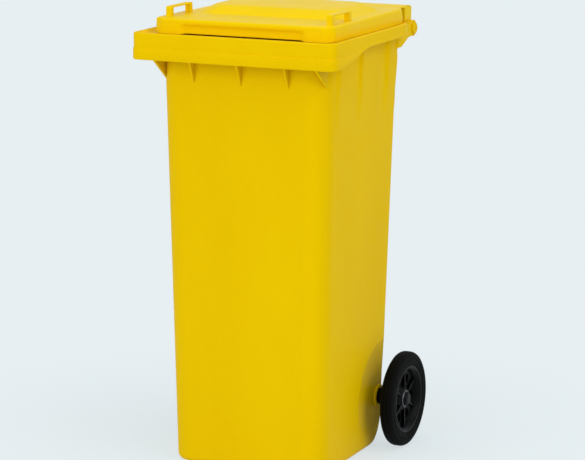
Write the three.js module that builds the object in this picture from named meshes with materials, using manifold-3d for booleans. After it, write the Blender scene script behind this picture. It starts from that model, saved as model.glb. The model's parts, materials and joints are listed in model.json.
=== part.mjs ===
// Two-wheeled refuse bin of about 80 litres: moulded body with a lipped rim, hinged
// lid with two loop handles, and two rubber-tyred wheels on a through axle.
// Units are millimetres. +Z is up, -Y is the front and +X is the right-hand side.
// The origin is under the middle of the bin, on the ground.

import * as THREE from 'three';
import { mergeVertices } from 'three/addons/utils/BufferGeometryUtils.js';
import Module from 'manifold-3d';

const wasm = await Module();
wasm.setup();

// ---------------------------------------------------------------- driving dimensions

const GAP = 0.3;             // clearance between pieces that touch in use

const WALL = 4;              // container wall
const FLOOR = 5;             // container floor
const FRONT_CORNER = 45;     // radius of the tall front corners
const REAR_CORNER = 25;
const HEEL = 68;             // radius of the rounded rear underside
const TOE = 12;              // radius of the other edges of the base

const RIM_TOP = 893;         // crest of the rim's raised border
const DECK_SINK = 6;         // how far the deck inside the border lies below it
const DECK_TOP = RIM_TOP - DECK_SINK;
const RIM_HALF_WIDTH = 224;
const RIM_FRONT = -243;
const RIM_REAR = 180;
const RIM_FRONT_CORNER = 20;
const RIM_REAR_CORNER = 70;
const RIM_WALL = 4;
const DECK = 5;              // thickness of the rim's top
const SKIRT = 54;            // height of the lip at the front
const SKIRT_REAR = 25;       // height of the lip at the rear
const SKIRT_BAND = 24;       // lower, slightly proud band of the lip
const BAND_PROUD = 1.5;
const BORDER = 9;            // width of the raised border, and of the slope inside it
const BORDER_SLOPE = 7;
const SWEEP_START = 31;      // behind the rim's front, where the side lip starts to rise
const SWEEP_LENGTH = 157;

const DRAFT_SIDE = 17.2;     // how far each wall leans out between ground and rim
const DRAFT_FRONT = 10.4;
const DRAFT_REAR = 39.8;
const LIP_SIDE = 37.8;       // how far the rim stands out past the top of each wall
const LIP_FRONT = 44.6;
const LIP_REAR = 1.2;
const BASE_HALF_WIDTH = RIM_HALF_WIDTH - LIP_SIDE - DRAFT_SIDE;
const BASE_FRONT = RIM_FRONT + LIP_FRONT + DRAFT_FRONT;
const BASE_REAR = RIM_REAR - LIP_REAR - DRAFT_REAR;

const GUSSET = 8;            // plates that brace the lip to the wall, thinner at the foot
const GUSSET_FOOT = 3;
const GUSSET_DROP = 46;      // how far they run down the wall below the lip
const GUSSET_REACH = 22;     // how far out they are level with the lip's lower edge
const GUSSET_BITE = 34;      // how far up inside the lip they meet it
const GUSSET_PITCH = 104;
const CORNER_GUSSET = 8;     // the outer pair, in from the sides of the wall
const PAD_PROUD = 8;         // tapered pads under the side lip
const PAD_DROP = 190;
const PADS = [[103, 177], [213, 305], [347, 393]];   // start and end behind the rim's front

const PIN_RADIUS = 6;
const PIN_FIT = 0.4;         // radial clearance round the pins
const PIN_DEPTH = 30;        // how far a pin reaches into the grip
const PIN_FLANGE = 6;        // how far its head stands out past its shank
const PIN_HEAD_RADIUS = PIN_RADIUS + PIN_FLANGE;
const PIN_HEAD = 4;
const LUG_WALL = 10.6;       // wall round the bore of the lugs that carry the pins
const LUG_RADIUS = PIN_RADIUS + PIN_FIT + LUG_WALL;
const LUG = 12;
const LUG_ROOT = 36;         // how far the lugs run forward along the side walls
const LUG_DROP = 49;
const GRIP_WALL = 8.6;
const GRIP_RADIUS = PIN_RADIUS + PIN_FIT + GRIP_WALL;
const GRIP_BRACKET = 13;
const GRIP_INNER = 62;       // inner end of each grip, from the middle of the bin
const GRIP_ROOM = 28.5;      // finger room between a grip and the lid's hood
const HINGE_BACK = 46.5;     // lid hinge axis, behind and below the rim
const HINGE_DROP = 16;
const HINGE_Y = RIM_REAR + HINGE_BACK;
const HINGE_Z = DECK_TOP - HINGE_DROP;

const LID_ARM = 16.4;        // width of the lid's hinge arms
const LID_EYE_WALL = 11.1;
const LID_EYE_RADIUS = PIN_RADIUS + PIN_FIT + LID_EYE_WALL;
const LID_WALL = 3.5;
const LID_SIDE_SET = 27;     // how far the lid stands in from the rim
const LID_FRONT_SET = 49;
const LID_HALF_WIDTH = RIM_HALF_WIDTH - LID_SIDE_SET;
const LID_FRONT = RIM_FRONT + LID_FRONT_SET;
const LID_REAR = RIM_REAR;
const LID_CORNER = 24;
const LID_REAR_CORNER = 25;
const LID_DRAFT = 3;
const LID_LAP = 4;           // how far the lid's edge laps the mouth of the bin
const LUG_SET = 3;           // lugs stand in from the lid's sides
const LUG_OUTER = LID_HALF_WIDTH - LUG_SET;
const HOOD_RADIUS = GRIP_RADIUS + GRIP_ROOM + LID_WALL;   // rear cover over the grips
const HOOD_TURN = 12;        // degrees that it wraps past the top
const ARM_TURN = 24.5;       // the same for the hinge arms beside the brackets
const DOME_RISE = 18;
const DOME_SIDE_SET = 32;    // raised middle of the lid, in from its sides, front and rear
const DOME_FRONT_SET = 110;
const DOME_REAR_SET = 40;
const DOME_HALF_WIDTH = LID_HALF_WIDTH - DOME_SIDE_SET;
const DOME_FRONT = LID_FRONT + DOME_FRONT_SET;
const DOME_REAR = LID_REAR - DOME_REAR_SET;
const DOME_SLOPE = 26;
const DOME_CORNER = 45;
const GRIP_NOTCH = 270;      // width of the finger recess in the lid's front
const NOTCH_DEPTH = 5;
const NOTCH_LIFT = 2;
const NOTCH_HEIGHT = 20;
const PLINTH = 140;          // length of the raised blocks under the loops
const PLINTH_WIDTH = 50;
const PLINTH_PROUD = 0.5;
const PLINTH_RISE = 0.6;
const LOOP_SIDE_SET = 20;    // loop handles, in from the lid's side and front
const LOOP_FRONT_SET = 30;
const LOOP_X = LID_HALF_WIDTH - LOOP_SIDE_SET;
const LOOP_FRONT = LID_FRONT + LOOP_FRONT_SET;
const LOOP = 94;             // length of a loop handle
const LOOP_WIDTH = 12;
const LOOP_RISE = 21;
const LOOP_BAR = 3.6;
const LOOP_LEG = 11;

const WHEEL_RADIUS = 100;
const AXLE_RADIUS = 10;
const AXLE_FIT = 0.4;
const AXLE_SET = 18.5;       // axle in front of the foot of the rear wall
const AXLE_Y = BASE_REAR - AXLE_SET;
const CHEEK = 7;             // side plates that carry the axle
const CHEEK_SET = 4;         // how far they stand in from the wall's foot
const CHEEK_OUTER = BASE_HALF_WIDTH - CHEEK_SET;
const ARCH_ROOM = 18;        // shallow dished wheel recess in each side, past the tyre
const ARCH_EDGE = 1;         // depth of its rim
const ARCH_RADIUS = WHEEL_RADIUS + ARCH_ROOM;
const RIB = 6;
const RIB_X = 48;
const WELL_AHEAD = 34.5;     // recess across the rear underside, in front of and over the axle
const WELL_OVER = 27;
const WELL_FRONT = AXLE_Y - WELL_AHEAD;
const WELL_TOP = WHEEL_RADIUS + WELL_OVER;
const BOSS_WALL = 13.6;      // walls round the axle, past its clearance
const SPACER_WALL = 7.6;
const HUB_WALL = 13.6;
const WASHER_WALL = 6.6;
const CAP_FLANGE = 6;
const BOSS_RADIUS = AXLE_RADIUS + AXLE_FIT + BOSS_WALL;
const SPACER_RADIUS = AXLE_RADIUS + AXLE_FIT + SPACER_WALL;
const HUB_RADIUS = AXLE_RADIUS + AXLE_FIT + HUB_WALL;
const WASHER_RADIUS = AXLE_RADIUS + AXLE_FIT + WASHER_WALL;
const CAP_RADIUS = AXLE_RADIUS + CAP_FLANGE;
const BOSS = 3;
const SPACER = 16;           // space between the boss and the hub
const HUB = 42;              // length of the hub
const HUB_SET = 10;          // hub's outer end, in from the tyre's outer face
const HUB_INNER = CHEEK_OUTER + BOSS + SPACER;
const HUB_OUTER = HUB_INNER + HUB;
const WHEEL_OUTER = HUB_OUTER + HUB_SET;
const TYRE_WIDTH = 28;
const TYRE_DEPTH = 28;       // from the bead to the tread
const TYRE_INNER = WHEEL_RADIUS - TYRE_DEPTH;
const WASHER = 2;
const CAP_WALL = 2.3;
const WHEEL_HOLES = 6;
const HOLE_RADIUS = 11;
const HOLE_CIRCLE = 43;

// ---------------------------------------------------------------- materials

const plastic = (color, roughness) =>
  new THREE.MeshStandardMaterial({ color, roughness, metalness: 0 });
const yellow = plastic(0xf0c400, 0.45);
const lidYellow = plastic(0xf5cc00, 0.42);
const black = plastic(0x161614, 0.5);
const rubber = plastic(0x101010, 0.8);
const steel = new THREE.MeshStandardMaterial({ color: 0xb8bcc0, roughness: 0.35, metalness: 0.9 });

// ---------------------------------------------------------------- solid helpers

// A closed solid from a geometry, turned outward if its faces point in.
function solid(geometry) {
  const bare = new THREE.BufferGeometry();
  bare.setAttribute('position', geometry.getAttribute('position').clone());
  if (geometry.index) bare.setIndex(geometry.index.clone());
  const merged = mergeVertices(bare, 1e-4);
  const p = merged.getAttribute('position').array;
  const tri = [];
  let volume = 0;
  for (let i = 0; i < merged.index.count; i += 3) {
    const [a, b, c] = [0, 1, 2].map((k) => merged.index.getX(i + k));
    if (a === b || b === c || c === a) continue;
    tri.push(a, b, c);
    const [A, B, C] = [a, b, c].map((v) => new THREE.Vector3().fromArray(p, 3 * v));
    volume += A.dot(B.cross(C));
  }
  if (volume < 0) tri.reverse();
  return new wasm.Manifold(new wasm.Mesh({
    numProp: 3,
    vertProperties: Float32Array.from(p),
    triVerts: Uint32Array.from(tri),
  }));
}

const join = (...parts) => parts.flat().reduce((a, b) => a.add(b));
const cut = (from, ...tools) => tools.flat().reduce((a, b) => a.subtract(b), from);

function box(x0, x1, y0, y1, z0, z1) {
  const g = new THREE.BoxGeometry(x1 - x0, y1 - y0, z1 - z0);
  return solid(g.translate((x0 + x1) / 2, (y0 + y1) / 2, (z0 + z1) / 2));
}

// A convex ring of points for a rectangle with its own front and rear corner radii.
function roundRect(halfWidth, front, rear, frontRadius, rearRadius, steps = 7) {
  const corners = [
    [halfWidth - rearRadius, rear - rearRadius, rearRadius, 0],
    [rearRadius - halfWidth, rear - rearRadius, rearRadius, 1],
    [frontRadius - halfWidth, front + frontRadius, frontRadius, 2],
    [halfWidth - frontRadius, front + frontRadius, frontRadius, 3],
  ];
  return corners.flatMap(([x, y, radius, quarter]) =>
    Array.from({ length: steps + 1 }, (_, i) => {
      const a = (quarter + i / steps) * Math.PI / 2;
      return [x + radius * Math.cos(a), y + radius * Math.sin(a)];
    }));
}

// A solid through stacked convex rings, each [z, ring], with equal point counts.
function loft(levels) {
  const n = levels[0][1].length;
  const points = levels.flatMap(([z, ring]) => ring.map(([x, y]) => [x, y, z])).flat();
  const index = [];
  for (let k = 0; k + 1 < levels.length; k++) {
    for (let i = 0; i < n; i++) {
      const [a, b] = [k * n + i, k * n + (i + 1) % n];
      index.push(a, b, b + n, a, b + n, a + n);
    }
  }
  const top = (levels.length - 1) * n;
  for (let i = 1; i + 1 < n; i++) index.push(0, i + 1, i, top, top + i, top + i + 1);
  const g = new THREE.BufferGeometry();
  g.setAttribute('position', new THREE.Float32BufferAttribute(points, 3));
  g.setIndex(index);
  return solid(g);
}

// An outline in the Y-Z plane pushed along X from x0 to x1.
function slab(outline, x0, x1) {
  const shape = new THREE.Shape(outline.map(([y, z]) => new THREE.Vector2(y, z)));
  const g = new THREE.ExtrudeGeometry(shape, { depth: x1 - x0, bevelEnabled: false });
  g.applyMatrix4(new THREE.Matrix4().set(0, 0, 1, x0, 1, 0, 0, 0, 0, 1, 0, 0, 0, 0, 0, 1));
  return solid(g);
}

// A profile of [x, radius] points turned about a line along X through (y, z).
function turned(profile, y, z, segments = 40) {
  const g = new THREE.LatheGeometry(profile.map(([x, r]) => new THREE.Vector2(r, x)), segments);
  return solid(g.rotateZ(-Math.PI / 2).translate(0, y, z));
}

const rod = (x0, x1, radius, y, z, segments) =>
  turned([[x0, 0], [x0, radius], [x1, radius], [x1, 0]], y, z, segments);

const arc = (y, z, radius, from, to, steps) =>
  Array.from({ length: steps + 1 }, (_, i) => {
    const a = THREE.MathUtils.degToRad(from + (to - from) * i / steps);
    return [y + radius * Math.cos(a), z + radius * Math.sin(a)];
  });

const mirrored = (make) => [make(1), make(-1)];
// Slab, box and rod on one side of the bin: side is 1 for right and -1 for left.
const span = (side, x0, x1) => (side > 0 ? [x0, x1] : [-x1, -x0]);

// ---------------------------------------------------------------- body

const lean = (z) => z / RIM_TOP;
const halfWidthAt = (z) => BASE_HALF_WIDTH + DRAFT_SIDE * lean(z);
const frontAt = (z) => BASE_FRONT - DRAFT_FRONT * lean(z);
const rearAt = (z) => BASE_REAR + DRAFT_REAR * lean(z);

const wallRing = (z, inset) => roundRect(halfWidthAt(z) - inset, frontAt(z) + inset,
  rearAt(z) - inset, FRONT_CORNER - inset, REAR_CORNER - inset);

function container() {
  const toe = [0, 30, 60, 90].map((deg) => {
    const a = THREE.MathUtils.degToRad(deg);
    const z = TOE * (1 - Math.cos(a));
    return [z, wallRing(z, TOE * (1 - Math.sin(a)))];
  });
  const shell = loft([...toe, [DECK_TOP, wallRing(DECK_TOP, 0)]]);
  const heelY = rearAt(HEEL) - HEEL;
  const side = [[RIM_FRONT, 0], ...arc(heelY, HEEL, HEEL, -90, 0, 10),
    [RIM_REAR, HEEL + 40], [RIM_REAR, RIM_TOP], [RIM_FRONT, RIM_TOP]];
  return shell.intersect(slab(side, -RIM_HALF_WIDTH, RIM_HALF_WIDTH));
}

const rimRing = (inset) => roundRect(RIM_HALF_WIDTH - inset, RIM_FRONT + inset,
  RIM_REAR - inset, RIM_FRONT_CORNER - inset, RIM_REAR_CORNER - inset);

// The lip: a deep skirt at the front that sweeps up along the sides.
function rim() {
  const low = RIM_TOP - SKIRT;
  const outer = join(
    loft([[low, rimRing(1)], [low + 1, rimRing(0)], [low + SKIRT_BAND - 2, rimRing(0)],
      [low + SKIRT_BAND, rimRing(BAND_PROUD)], [RIM_TOP - 2, rimRing(BAND_PROUD)],
      [RIM_TOP, rimRing(BAND_PROUD + 2)]]));
  const hollow = loft([[low - 1, rimRing(RIM_WALL)], [DECK_TOP - DECK, rimRing(RIM_WALL + BAND_PROUD)]]);
  const rise = SKIRT - SKIRT_REAR;
  const start = RIM_FRONT + SWEEP_START;
  const sweep = Array.from({ length: 11 }, (_, i) => {
    const t = i / 10;
    return [start + SWEEP_LENGTH * t, low + rise * t * t * (3 - 2 * t)];
  });
  const under = slab([[start, low - 5], [RIM_REAR + 5, low - 5], [RIM_REAR + 5, low + rise],
    ...sweep.reverse()], -RIM_HALF_WIDTH - 5, RIM_HALF_WIDTH + 5);
  // the deck lies inside a border that runs along the front and both sides
  const sunk = (z, inset) => [z, roundRect(RIM_HALF_WIDTH - inset, RIM_FRONT + inset, RIM_REAR + 30,
    RIM_FRONT_CORNER - 5, 10)];
  const tray = loft([sunk(DECK_TOP, BORDER + BORDER_SLOPE), sunk(RIM_TOP, BORDER), sunk(RIM_TOP + 5, BORDER)]);
  return cut(outer, hollow, under, tray);
}

function gussets() {
  const low = RIM_TOP - SKIRT;
  const foot = low - GUSSET_DROP;
  const lip = RIM_FRONT + RIM_WALL - 1;
  const front = [-2, -1, 0, 1, 2].map((i) => {
    const corner = Math.abs(i) === 2;
    const x = corner ? Math.sign(i) * (halfWidthAt(low) - CORNER_GUSSET) : i * GUSSET_PITCH;
    const root = frontAt(foot) + (corner ? FRONT_CORNER * 0.6 : 2);
    const ring = (half, y) => [[x - half, y], [x + half, y], [x + half, root], [x - half, root]];
    const edge = corner ? lip + 10 : frontAt(low) - GUSSET_REACH;
    return loft([[foot, ring(GUSSET_FOOT / 2, root - 3)], [low, ring(GUSSET / 2 - 1, edge)],
      [low + GUSSET_BITE, ring(GUSSET / 2, lip)], [DECK_TOP - DECK + 1, ring(GUSSET / 2, lip)]]);
  });
  const pads = PADS.flatMap(([y0, y1]) => mirrored((s) => {
    const z0 = DECK_TOP - DECK - PAD_DROP;
    const z1 = DECK_TOP - DECK + 1;
    const [front, rear] = [RIM_FRONT + y0, RIM_FRONT + y1];
    const ring = (z, out, trim) => {
      const [a, b] = [s * (halfWidthAt(z) - WALL / 2), s * (halfWidthAt(z) + out)];
      const r = [[a, front + trim], [b, front + trim], [b, rear - trim], [a, rear - trim]];
      return s > 0 ? r : r.reverse();
    };
    return loft([[z0, ring(z0, 0, 4)], [z1, ring(z1, PAD_PROUD, 0)]]);
  }));
  return join(front, pads);
}

// Behind the rear wall: outer lugs with deep gussets for the pins, and the two grips on
// slimmer brackets that leave the lid's hood room to swing past them.
function handles() {
  const wall = rearAt(HINGE_Z) - WALL / 2;
  const deep = [[wall - LUG_ROOT, DECK_TOP - LUG_DROP], [wall, DECK_TOP - LUG_DROP + 6],
    [HINGE_Y - 28, HINGE_Z - LUG_RADIUS],
    ...arc(HINGE_Y, HINGE_Z, LUG_RADIUS, -120, 95, 16), [HINGE_Y - 20, DECK_TOP - 4],
    [wall - LUG_ROOT, DECK_TOP - 1]];
  const slim = [[wall, HINGE_Z - 14], [HINGE_Y - 26, HINGE_Z - 11],
    ...arc(HINGE_Y, HINGE_Z, GRIP_RADIUS + 1, -125, 95, 16), [HINGE_Y - 20, DECK_TOP - 4],
    [wall, DECK_TOP - 1]];
  const end = LUG_OUTER - LUG - LID_ARM - 2;
  return mirrored((s) => join(
    slab(deep, ...span(s, LUG_OUTER - LUG, LUG_OUTER)),
    slab(slim, ...span(s, end - GRIP_BRACKET, end)),
    slab(slim, ...span(s, GRIP_INNER, GRIP_INNER + GRIP_BRACKET)),
    rod(...span(s, GRIP_INNER + 1, end - 1), GRIP_RADIUS, HINGE_Y, HINGE_Z, 32)));
}

// The room inside, kept clear of the axle well and the wheel recesses.
function cavity() {
  const room = loft([[FLOOR, wallRing(FLOOR, WALL + 8)], [FLOOR + 8, wallRing(FLOOR + 8, WALL)],
    [DECK_TOP - DECK, wallRing(DECK_TOP - DECK, WALL)]]);
  const lap = LID_WALL + LID_LAP;
  const mouthRing = roundRect(halfWidthAt(DECK_TOP) - WALL, LID_FRONT + lap,
    rearAt(DECK_TOP) - WALL, FRONT_CORNER - lap, REAR_CORNER - WALL);
  const mouth = loft([[DECK_TOP - DECK - 1, mouthRing], [DECK_TOP + 20, mouthRing]]);
  const back = WELL_FRONT - WALL - 1;
  const profile = [[RIM_FRONT, 0], [back - 26, 0], [back - 26, FLOOR], [back, FLOOR + 24],
    [back, WELL_TOP + WALL], [RIM_REAR + 20, WELL_TOP + WALL], [RIM_REAR + 20, DECK_TOP + 30],
    [RIM_FRONT, DECK_TOP + 30]];
  const keep = mirrored((s) => rod(...span(s, CHEEK_OUTER - WALL, RIM_HALF_WIDTH),
    ARCH_RADIUS + WALL, AXLE_Y, WHEEL_RADIUS, 48));
  return cut(room.intersect(slab(profile, -RIM_HALF_WIDTH, RIM_HALF_WIDTH)), keep).add(mouth);
}

function body() {
  const flush = halfWidthAt(WHEEL_RADIUS);
  const arches = mirrored((s) => turned([[s * CHEEK_OUTER, 0], [s * CHEEK_OUTER, ARCH_RADIUS * 0.5],
    [s * (flush - ARCH_EDGE), ARCH_RADIUS], [s * (flush + ARCH_RADIUS), 2 * ARCH_RADIUS],
    [s * (flush + ARCH_RADIUS), 0]], AXLE_Y, WHEEL_RADIUS, 48));
  const inside = CHEEK_OUTER - CHEEK;
  const wells = [[-inside, -RIB_X - RIB / 2], [RIB / 2 - RIB_X, RIB_X - RIB / 2], [RIB_X + RIB / 2, inside]]
    .map(([x0, x1]) => box(x0, x1, WELL_FRONT, RIM_REAR + 20, -5, WELL_TOP));
  const bosses = mirrored((s) => rod(...span(s, inside - 6, CHEEK_OUTER + BOSS), BOSS_RADIUS,
    AXLE_Y, WHEEL_RADIUS, 32));
  const axleBore = rod(-RIM_HALF_WIDTH, RIM_HALF_WIDTH, AXLE_RADIUS + AXLE_FIT, AXLE_Y, WHEEL_RADIUS, 32);
  const pinBores = mirrored((s) => rod(
    ...span(s, LUG_OUTER - LUG - LID_ARM - 2 - PIN_DEPTH - 1, LUG_OUTER + 5),
    PIN_RADIUS + PIN_FIT, HINGE_Y, HINGE_Z, 24));
  const moulding = join(cut(container(), arches, wells), bosses, rim(), gussets(), handles());
  return cut(moulding, cavity(), axleBore, pinBores);
}

// ---------------------------------------------------------------- lid

const lidLow = DECK_TOP + GAP;
const ledge = HINGE_Z + HOOD_RADIUS;

function lid() {
  const ring = (inset) => roundRect(LID_HALF_WIDTH - inset, LID_FRONT + inset, LID_REAR - inset / 4,
    LID_CORNER - inset, LID_REAR_CORNER - inset);
  const dome = (inset) => roundRect(DOME_HALF_WIDTH - inset, DOME_FRONT + inset, DOME_REAR - inset,
    DOME_CORNER - inset / 2, DOME_CORNER - inset / 2);
  const tray = loft([[lidLow, ring(0)], [ledge - 5, ring(LID_DRAFT - 0.5)],
    [ledge - 1.5, ring(LID_DRAFT + 1)], [ledge, ring(LID_DRAFT + 4)]]);
  const trayIn = loft([[lidLow - 1, ring(LID_WALL)], [ledge - LID_WALL, ring(LID_DRAFT + LID_WALL)]]);
  const crown = loft([[ledge - 1, dome(0)], [ledge, dome(0)], [ledge + DOME_RISE - 3, dome(DOME_SLOPE)],
    [ledge + DOME_RISE, dome(DOME_SLOPE + 12)]]);
  const crownIn = loft([[ledge - LID_WALL - 1, dome(LID_WALL)], [ledge - LID_WALL, dome(LID_WALL)],
    [ledge + DOME_RISE - LID_WALL, dome(DOME_SLOPE + LID_WALL + 4)]]);
  const half = GRIP_NOTCH / 2;
  const notch = box(-half, half, LID_FRONT - 5, LID_FRONT + NOTCH_DEPTH + LID_DRAFT / 2,
    lidLow - 5, lidLow + NOTCH_HEIGHT);
  const lift = box(-half, half, LID_FRONT - 5, LID_FRONT + 40, lidLow - 5, lidLow + NOTCH_LIFT);
  const keep = box(-half - LID_WALL, half + LID_WALL, LID_FRONT - 5,
    LID_FRONT + NOTCH_DEPTH + LID_DRAFT / 2 + LID_WALL, lidLow - 5, lidLow + NOTCH_HEIGHT + LID_WALL);

  const plinths = mirrored((s) => {
    const [x0, x1] = span(s, LID_HALF_WIDTH - PLINTH_WIDTH, LID_HALF_WIDTH + PLINTH_PROUD);
    const y0 = LID_FRONT + LID_CORNER / 3;
    const y1 = LID_FRONT + PLINTH;
    const ringOf = (inset) => [[x0 + inset, y0 + inset], [x1 - inset, y0 + inset],
      [x1 - inset, y1 - inset], [x0 + inset, y1 - inset]];
    return loft([[lidLow + 3, ringOf(0)], [ledge - 2, ringOf(1)], [ledge + PLINTH_RISE, ringOf(3)]]);
  });
  const loops = mirrored((s) => {
    const base = ledge - 2;
    const top = ledge + LOOP_RISE;
    const rear = LOOP_FRONT + LOOP;
    const outline = [[LOOP_FRONT, base], [rear, base], [rear, top - 6], [rear - 5, top],
      [LOOP_FRONT + 5, top], [LOOP_FRONT, top - 6]];
    const low = ledge + PLINTH_RISE;
    const window_ = [[LOOP_FRONT + LOOP_LEG, low], [rear - LOOP_LEG, low],
      [rear - LOOP_LEG - 1, top - LOOP_BAR], [LOOP_FRONT + LOOP_LEG + 1, top - LOOP_BAR]];
    const [x0, x1] = span(s, LOOP_X - LOOP_WIDTH / 2, LOOP_X + LOOP_WIDTH / 2);
    return cut(slab(outline, x0, x1), slab(window_, x0 - 5, x1 + 5));
  });

  const armOuter = LUG_OUTER - LUG - 1;
  const hood = (r) => [[LID_REAR - 12, HINGE_Z + r], ...arc(HINGE_Y, HINGE_Z, r, 90, 90 - HOOD_TURN, 4)];
  const hoods = mirrored((s) => slab(
    [...hood(HOOD_RADIUS), ...hood(HOOD_RADIUS - LID_WALL).reverse()],
    ...span(s, GRIP_INNER, armOuter)));
  const arms = mirrored((s) => slab(
    [...arc(HINGE_Y, HINGE_Z, LID_EYE_RADIUS, 180, 360, 16),
      ...arc(HINGE_Y, HINGE_Z, HOOD_RADIUS, 90 - ARM_TURN, 112, 10)],
    ...span(s, armOuter - LID_ARM, armOuter)));
  const eyes = mirrored((s) => rod(...span(s, armOuter - LID_ARM - 5, armOuter + 5),
    PIN_RADIUS + PIN_FIT, HINGE_Y, HINGE_Z, 24));

  const outside = cut(join(tray, crown, plinths, hoods, arms), notch, lift);
  const inside = join(cut(trayIn, keep), crownIn);
  const shell = cut(outside, inside);
  return cut(join(shell, loops), eyes);
}

// ---------------------------------------------------------------- wheels and axle

function tyre() {
  const [x1, x0] = [WHEEL_OUTER, WHEEL_OUTER - TYRE_WIDTH];
  const r = WHEEL_RADIUS;
  const bead = TYRE_INNER;
  return turned([[x0 + 2, bead], [x0, bead + 3], [x0, r - 9], [x0 + 3, r - 3], [x0 + 8, r],
    [x1 - 8, r], [x1 - 3, r - 3], [x1, r - 9], [x1, r - 16], [x1 - 1.5, r - 18],
    [x1 - 1.5, bead + 2], [x1 - 3, bead], [x0 + 2, bead]], 0, 0, 64);
}

function wheelDisc() {
  const bore = AXLE_RADIUS + AXLE_FIT;
  const outer = TYRE_INNER - GAP;
  const [x1, x0] = [WHEEL_OUTER - 1, WHEEL_OUTER - TYRE_WIDTH + 2];
  const web = x0 + 4;
  const disc = turned([[HUB_INNER, bore], [HUB_INNER, HUB_RADIUS - 3], [x0, HUB_RADIUS], [x0, outer],
    [x1, outer], [x1, outer - 5], [x1 - 6, outer - 12], [web + 4, outer - 13], [web + 4, HUB_RADIUS + 2],
    [HUB_OUTER, HUB_RADIUS - 2], [HUB_OUTER, bore], [HUB_INNER, bore]], 0, 0, 64);
  const place = (g, i, turn = 0) => solid(g.rotateX((i + turn) * 2 * Math.PI / WHEEL_HOLES));
  const ribs = Array.from({ length: WHEEL_HOLES }, (_, i) => place(
    new THREE.BoxGeometry(8, 4, outer - 12 - HUB_RADIUS + 6)
      .translate(web + 6, 0, (outer - 12 + HUB_RADIUS) / 2), i));
  const holes = Array.from({ length: WHEEL_HOLES }, (_, i) => place(
    new THREE.CylinderGeometry(HOLE_RADIUS, HOLE_RADIUS, 60, 20).rotateZ(Math.PI / 2)
      .translate(WHEEL_OUTER - 12, 0, HOLE_CIRCLE), i, 0.5));
  return cut(join(disc, ribs), holes);
}

const ringPart = (x0, x1, outer, inner) =>
  turned([[x0, inner], [x0, outer], [x1, outer], [x1, inner], [x0, inner]], 0, 0, 36);

const bore = AXLE_RADIUS + AXLE_FIT;
const spacer = () => ringPart(CHEEK_OUTER + BOSS + GAP, HUB_INNER - GAP, SPACER_RADIUS, bore);
const washer = () => ringPart(HUB_OUTER + GAP, HUB_OUTER + GAP + WASHER, WASHER_RADIUS, bore);

const capStart = HUB_OUTER + 2 * GAP + WASHER;
const axleEnd = capStart + 3.5;

function cap() {
  const bore = AXLE_RADIUS + 0.05;
  const end = axleEnd + GAP + CAP_WALL;
  return turned([[capStart, bore], [capStart, CAP_RADIUS], [capStart + 1.5, CAP_RADIUS],
    [end - 1.5, CAP_RADIUS - 3], [end, CAP_RADIUS - 8], [end, 0], [axleEnd + GAP, 0],
    [axleEnd + GAP, bore], [capStart, bore]], 0, 0, 36);
}

function axle() {
  const e = axleEnd;
  const r = AXLE_RADIUS;
  return turned([[-e, 0], [-e, r - 1.5], [1.5 - e, r], [e - 1.5, r], [e, r - 1.5], [e, 0]],
    AXLE_Y, WHEEL_RADIUS, 36);
}

function hingePin() {
  const start = LUG_OUTER - LUG - LID_ARM - 2 - PIN_DEPTH;
  const head = LUG_OUTER + GAP;
  const [r, h] = [PIN_RADIUS, PIN_HEAD_RADIUS];
  return turned([[start, 0], [start, r - 1.5], [start + 2, r], [head, r], [head, h],
    [head + PIN_HEAD - 1.5, h], [head + PIN_HEAD, h - 1.5], [head + PIN_HEAD, 0]], 0, 0, 24);
}

// ---------------------------------------------------------------- assembly

function meshOf(name, shape, material) {
  const out = shape.getMesh();
  const g = new THREE.BufferGeometry();
  const points = new Float32Array(out.numVert * 3);
  for (let i = 0; i < out.numVert; i++) {
    for (let k = 0; k < 3; k++) points[3 * i + k] = out.vertProperties[i * out.numProp + k];
  }
  g.setAttribute('position', new THREE.BufferAttribute(points, 3));
  g.setIndex(new THREE.BufferAttribute(Uint32Array.from(out.triVerts), 1));
  g.computeVertexNormals();
  const mesh = new THREE.Mesh(g, material);
  mesh.name = name;
  return mesh;
}

// Everything sits in one frame that centres the bin's depth on the origin.
const reach = HINGE_Y + HOOD_RADIUS * Math.sin(THREE.MathUtils.degToRad(ARM_TURN));
const bin = new THREE.Group();
bin.position.y = -(RIM_FRONT + reach) / 2;
bin.add(meshOf('body', body(), yellow));
bin.add(meshOf('lid', lid(), lidYellow));
bin.add(meshOf('axle', axle(), steel));

const sidePieces = [
  ['wheel_disc', wheelDisc, black], ['tyre', tyre, rubber], ['wheel_spacer', spacer, black],
  ['wheel_washer', washer, steel], ['axle_cap', cap, black]];
for (const [side, turn] of [['right', 0], ['left', Math.PI]]) {
  const wheel = new THREE.Group();
  wheel.position.set(0, AXLE_Y, WHEEL_RADIUS);
  wheel.rotation.z = turn;
  for (const [name, make, material] of sidePieces) wheel.add(meshOf(`${side}_${name}`, make(), material));
  const hinge = new THREE.Group();
  hinge.position.set(0, HINGE_Y, HINGE_Z);
  hinge.rotation.z = turn;
  hinge.add(meshOf(`${side}_hinge_pin`, hingePin(), yellow));
  bin.add(wheel, hinge);
}

const group = new THREE.Group();
group.name = 'wheelie_bin';
group.add(bin);

export default group;
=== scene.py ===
"""Looks for the two-wheeled refuse bin: smooth moulded shells, wheels and finishes
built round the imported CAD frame. Sizes are in metres, in the frame's own axes."""

import json
import math

import bmesh
import bpy
from mathutils import Matrix, Vector


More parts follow.
